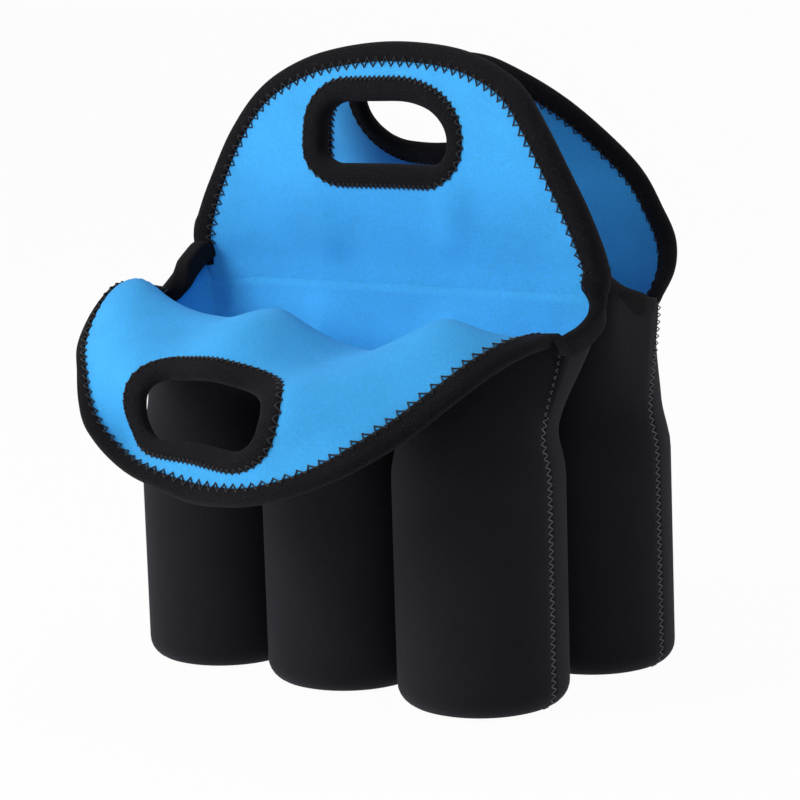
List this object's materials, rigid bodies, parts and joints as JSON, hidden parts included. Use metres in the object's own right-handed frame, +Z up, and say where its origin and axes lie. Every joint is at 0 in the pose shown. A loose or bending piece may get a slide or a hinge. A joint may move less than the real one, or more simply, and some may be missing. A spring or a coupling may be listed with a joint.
{
  "type": "six pack carrier",
  "caption": "Soft foam bottle carrier: rows of joined round pockets hang from a middle flap, with a folding flap on each outer wall and a bound hand hole in every flap.",
  "frame": {"origin": "on the floor, under the middle of the outline with the front flap folded forward as pictured", "axes": "+X along the rows to the right seen from the front, -Y to the front (the side with the folded flap), +Z up. The middle flap stands at y = 36.3 mm, the front row's centre plane at y = -3.2 mm and the back row's at y = 75.8 mm"},
  "size_m": [0.2304, 0.2256, 0.2785],
  "materials": {
    "black_foam": "matte black knit face over closed-cell foam",
    "blue_lining": "smooth matte sky-blue knit",
    "binding_tape": "matte black folded knit tape",
    "thread": "matte black thread"
  },
  "bodies": {
    "front_row": {"front_outer_wall_foam": "black_foam", "front_outer_wall_lining": "blue_lining", "front_inner_wall_foam": "black_foam", "front_inner_wall_lining": "blue_lining", "front_left_side_seam": "thread", "front_right_side_seam": "thread", "front_partition_stitching": "thread", "front_left_mouth_binding": "binding_tape", "front_right_mouth_binding": "binding_tape"},
    "back_row": {"back_inner_wall_foam": "black_foam", "back_inner_wall_lining": "blue_lining", "back_outer_wall_foam": "black_foam", "back_outer_wall_lining": "blue_lining", "back_left_side_seam": "thread", "back_right_side_seam": "thread", "back_partition_stitching": "thread", "back_left_mouth_binding": "binding_tape", "back_right_mouth_binding": "binding_tape"},
    "front_flap": {"front_flap_foam": "black_foam", "front_flap_lining": "blue_lining", "front_flap_binding": "binding_tape", "front_hand_hole_binding": "binding_tape", "front_flap_edge_stitching": "thread", "front_hand_hole_stitching": "thread"},
    "middle_flap": {"middle_flap_front_foam": "black_foam", "middle_flap_front_lining": "blue_lining", "middle_flap_rear_foam": "black_foam", "middle_flap_rear_lining": "blue_lining", "middle_flap_binding": "binding_tape", "middle_hand_hole_binding": "binding_tape", "middle_flap_edge_stitching": "thread", "middle_hand_hole_stitching": "thread"},
    "back_flap": {"back_flap_foam": "black_foam", "back_flap_lining": "blue_lining", "back_flap_binding": "binding_tape", "back_hand_hole_binding": "binding_tape", "back_flap_edge_stitching": "thread", "back_hand_hole_stitching": "thread"}
  },
  "joints": [
    {"name": "front_flap_fold", "type": "hinge", "parent": "front_row", "child": "front_flap", "pos_m": [0, -0.03841, 0.1665], "axis": [-1, 0, 0], "range_deg": [-30, 140]},
    {"name": "middle_flap_fold", "type": "hinge", "parent": "front_row", "child": "middle_flap", "pos_m": [0, 0.03629, 0.179], "axis": [-1, 0, 0], "range_deg": [-30, 2]},
    {"name": "rows_spread", "type": "hinge", "parent": "front_row", "child": "back_row", "pos_m": [0, 0.03629, 0.179], "axis": [1, 0, 0], "range_deg": [0, 9]},
    {"name": "back_flap_fold", "type": "hinge", "parent": "back_row", "child": "back_flap", "pos_m": [0, 0.11099, 0.17], "axis": [-1, 0, 0], "range_deg": [-3, 160]}
  ]
}
